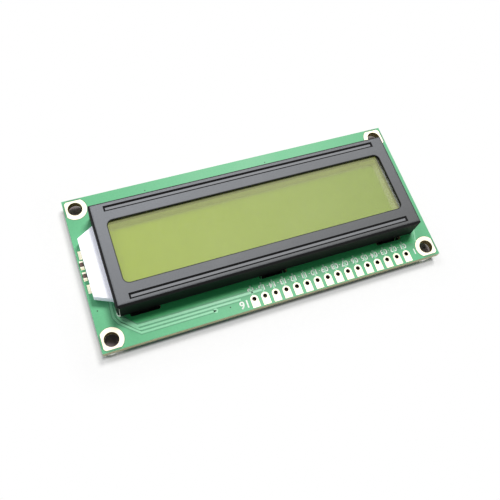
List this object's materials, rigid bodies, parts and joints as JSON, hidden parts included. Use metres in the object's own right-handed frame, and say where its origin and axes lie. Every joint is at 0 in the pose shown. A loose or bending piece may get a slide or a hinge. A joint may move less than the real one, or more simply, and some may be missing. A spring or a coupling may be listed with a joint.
{
  "type": "character lcd module",
  "caption": "Character display module: a circuit board with corner holes and a header row carries a folded black metal bezel round a yellow-green reflective display, lit from one end.",
  "frame": {"origin": "centre of the board's outline, on the plane of the part's lowest points, the ends of the twisted bezel tabs", "axes": "+X along the display in its reading direction, with header hole 1 at the -X end and the light guide's ear at the +X end; +Y towards the header row; +Z out of the display's face"},
  "size_m": [0.08, 0.036, 0.0092],
  "materials": {
    "board": "glossy light green solder mask",
    "plating": "bright pale tinned plating",
    "strip_rubber": "matt",
    "white_film": "matt white",
    "light_guide": "milky white, satin",
    "rear_polarizer": "yellow-green reflecting film",
    "cell_glass": "clear",
    "front_polarizer": "clear yellow-green film, smooth",
    "bezel": "satin black",
    "lamp_carrier": "matt",
    "lamps": "clear yellow resin",
    "leads": "tinned",
    "chip_caps": "tinned",
    "lamp_resistors": "matt dark",
    "back_resistors": "matt black",
    "back_capacitors": "matt tan",
    "chip_drops": "satin black resin"
  },
  "bodies": {
    "root": {"circuit_board": "board", "mounting_hole_pads": "plating", "header_pads": "plating", "contact_fingers": "plating", "rubber_strip_header_side": "strip_rubber", "rubber_strip_far_side": "strip_rubber", "reflector_film": "white_film", "light_guide": "light_guide", "diffuser_film": "white_film", "rear_polarizer": "rear_polarizer", "rear_glass": "cell_glass", "front_glass": "cell_glass", "front_polarizer": "front_polarizer", "bezel": "bezel", "lamp_carrier": "lamp_carrier", "lamps": "lamps", "lamp_leads": "leads", "lamp_lead_pads": "plating", "small_part_pads": "plating", "lamp_resistors": "lamp_resistors", "lamp_resistor_caps": "chip_caps", "back_resistors": "back_resistors", "back_resistor_caps": "chip_caps", "back_capacitors": "back_capacitors", "back_capacitor_caps": "chip_caps", "controller_chip_drop": "chip_drops", "driver_chip_drop": "chip_drops"}
  },
  "joints": []
}
